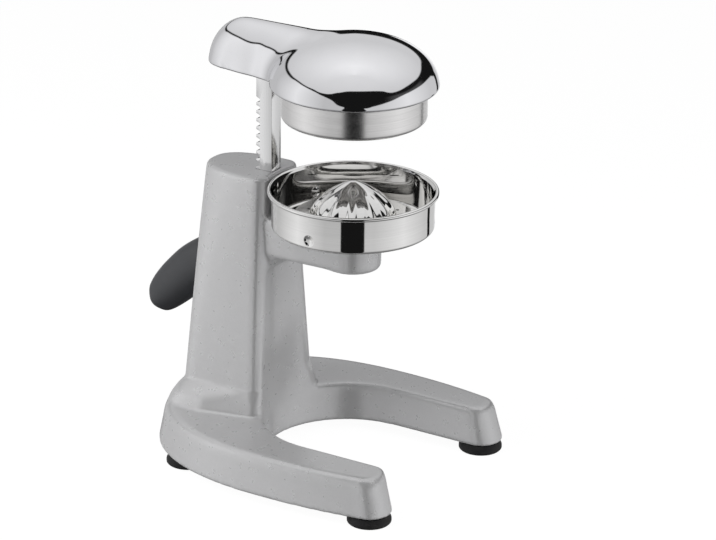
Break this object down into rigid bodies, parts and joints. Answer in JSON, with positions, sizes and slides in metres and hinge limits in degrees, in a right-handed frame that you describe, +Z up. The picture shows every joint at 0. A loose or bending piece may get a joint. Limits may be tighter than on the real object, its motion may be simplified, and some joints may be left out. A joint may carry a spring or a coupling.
{
  "type": "lever citrus juice press",
  "caption": "Upright juice press: a lever and rack bring a domed head and its bell down on a reamer cone in a bowl, on a column with a horseshoe base.",
  "frame": {"origin": "on the surface that the press stands on, below the middle of its footprint", "axes": "+Z up, -Y towards the user, where the horseshoe base is open, +X to the user's right, where the lever is"},
  "size_m": [0.207, 0.3202, 0.3367],
  "materials": {
    "cast_paint": "satin silver-grey metallic paint on a casting",
    "foot_rubber": "matt black",
    "fastener_steel": "plain zinc-plated",
    "polished_steel": "polished stainless steel",
    "strainer_steel": "pressed sheet, bright",
    "rack_steel": "ground and polished, teeth as milled",
    "machined_steel": "as machined, lightly oiled",
    "bearing_bronze": "sintered bronze",
    "lever_chrome": "bright chrome plate",
    "grip_plastic": "satin dark grey",
    "head_chrome": "bright chrome plate on a casting",
    "bell_steel": "brushed round the wall"
  },
  "bodies": {
    "press_frame": {"stand": "cast_paint", "foot_front_left": "foot_rubber", "foot_front_right": "foot_rubber", "foot_rear_left": "foot_rubber", "foot_rear_right": "foot_rubber", "foot_screw_front_left": "fastener_steel", "foot_screw_front_right": "fastener_steel", "foot_screw_rear_left": "fastener_steel", "foot_screw_rear_right": "fastener_steel", "juice_bowl": "polished_steel", "strainer_plate": "strainer_steel", "reamer_cone": "polished_steel", "axle_bush_inner": "bearing_bronze", "axle_bush_outer": "bearing_bronze"},
    "press_head": {"head": "head_chrome", "rack": "rack_steel", "rack_stop_plate": "fastener_steel", "rack_stop_screw": "fastener_steel", "rack_screw_1": "fastener_steel", "rack_screw_2": "fastener_steel", "press_bell": "bell_steel", "bell_washer": "fastener_steel", "bell_screw": "fastener_steel"},
    "press_lever": {"pinion": "machined_steel", "pinion_pin": "fastener_steel", "axle": "machined_steel", "lever_arm": "lever_chrome", "lever_washer": "fastener_steel", "lever_screw": "fastener_steel", "lever_grip": "grip_plastic"}
  },
  "joints": [
    {"name": "lever_turn", "type": "hinge", "parent": "press_frame", "child": "press_lever", "pos_m": [0.043, 0.02001, 0.1687], "axis": [1, 0, 0], "range_deg": [0, 222.4]},
    {"name": "head_slide", "type": "slide", "parent": "press_frame", "child": "press_head", "axis": [0, 0, -1], "range_m": [0, 0.066]}
  ],
  "couplings": [
    {"joint": "head_slide", "follows": "lever_turn", "m_per_rad": 0.017}
  ]
}
